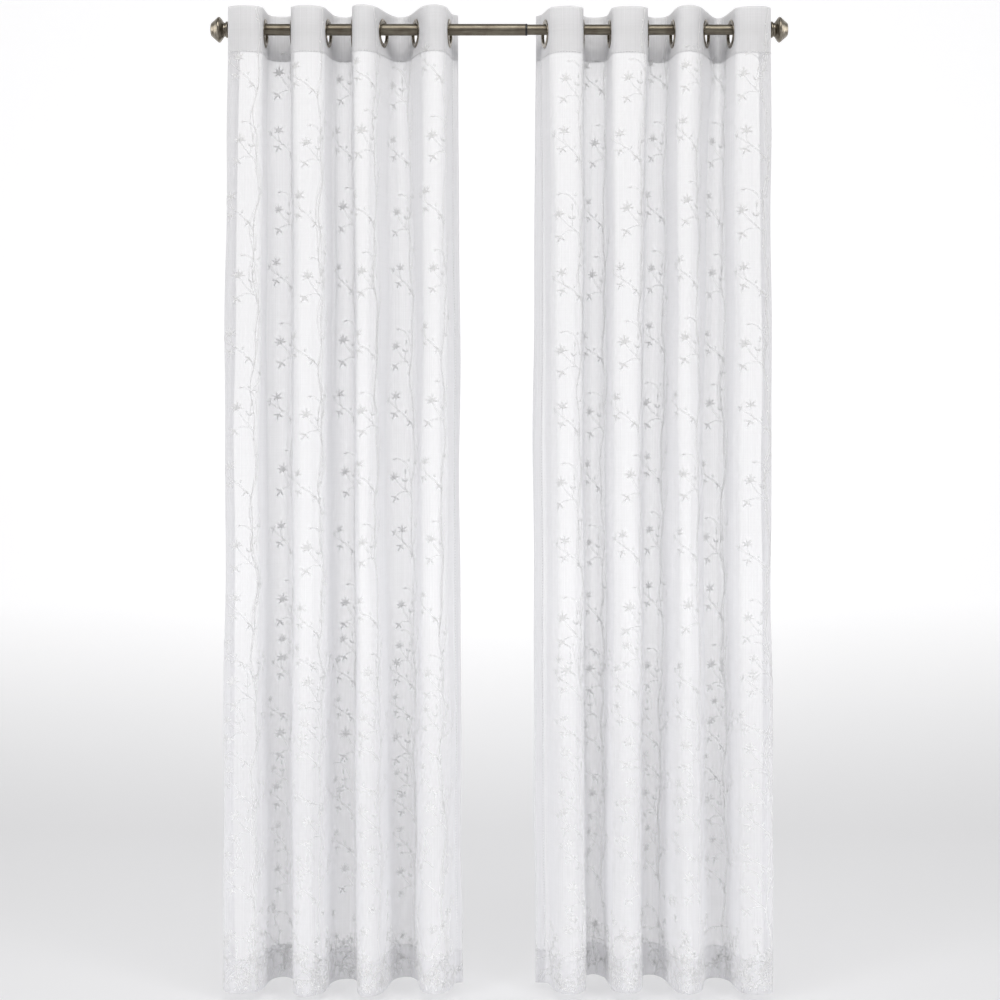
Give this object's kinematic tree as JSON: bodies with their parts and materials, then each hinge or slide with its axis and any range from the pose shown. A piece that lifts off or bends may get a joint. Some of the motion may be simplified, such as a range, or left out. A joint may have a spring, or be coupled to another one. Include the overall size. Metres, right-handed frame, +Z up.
{
  "type": "sheer voile curtain pair on a curtain rod",
  "caption": "Pair of sheer embroidered voile curtains with eyelet headings, hanging in soft folds from a telescoping metal rod with finials.",
  "frame": {"origin": "middle of the rod, on its axis", "axes": "+X along the rod to the right as seen from the room, +Y away from the room towards the window, +Z up"},
  "size_m": [1.263, 0.1477, 2.1403],
  "materials": {
    "voile": "sheer white polyester voile with white vine embroidery",
    "heading_cloth": "doubled voile over a stiffening tape",
    "rod_metal": "brushed pewter plate",
    "eyelet_metal": "satin pewter plate"
  },
  "bodies": {
    "root": {"rod_outer_tube": "rod_metal", "rod_inner_tube": "rod_metal", "finial_left": "rod_metal", "finial_right": "rod_metal", "heading_left": "heading_cloth", "heading_right": "heading_cloth", "panel_left": "voile", "panel_right": "voile", "eyelet_left_1": "eyelet_metal", "eyelet_left_2": "eyelet_metal", "eyelet_left_3": "eyelet_metal", "eyelet_left_4": "eyelet_metal", "eyelet_left_5": "eyelet_metal", "eyelet_left_6": "eyelet_metal", "eyelet_left_7": "eyelet_metal", "eyelet_left_8": "eyelet_metal", "eyelet_right_1": "eyelet_metal", "eyelet_right_2": "eyelet_metal", "eyelet_right_3": "eyelet_metal", "eyelet_right_4": "eyelet_metal", "eyelet_right_5": "eyelet_metal", "eyelet_right_6": "eyelet_metal", "eyelet_right_7": "eyelet_metal", "eyelet_right_8": "eyelet_metal"}
  },
  "joints": []
}
